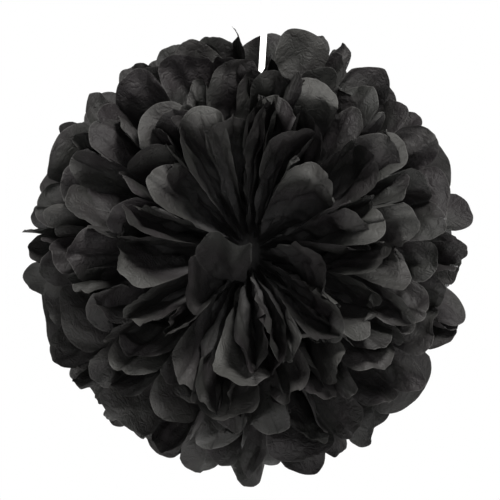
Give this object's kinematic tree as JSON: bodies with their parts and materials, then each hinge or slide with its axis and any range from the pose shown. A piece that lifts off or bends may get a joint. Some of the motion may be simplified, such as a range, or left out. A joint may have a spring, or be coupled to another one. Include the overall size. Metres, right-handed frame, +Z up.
{
  "type": "tissue paper pom pom",
  "caption": "Dark round tissue paper pom pom, folded, tied and fluffed into layers of round-ended petals, hung on a narrow white ribbon.",
  "frame": {"origin": "centre of the ball, at the tie that gathers the folded sheets", "axes": "+Z up along the hanging ribbon, -Y out of the front rosette's middle, along the axis that both fans open round, +X to the right"},
  "size_m": [0.249, 0.2312, 0.3018],
  "materials": {
    "tissue": "matte",
    "ribbon": "satin",
    "wire": "satin"
  },
  "bodies": {
    "root": {"sheet_01": "tissue", "sheet_02": "tissue", "sheet_03": "tissue", "sheet_04": "tissue", "sheet_05": "tissue", "sheet_06": "tissue", "sheet_07": "tissue", "sheet_08": "tissue", "sheet_09": "tissue", "sheet_10": "tissue", "tie_wire": "wire", "ribbon_knot": "ribbon", "ribbon": "ribbon", "top_knot": "ribbon", "hanging_loop": "ribbon"}
  },
  "joints": []
}
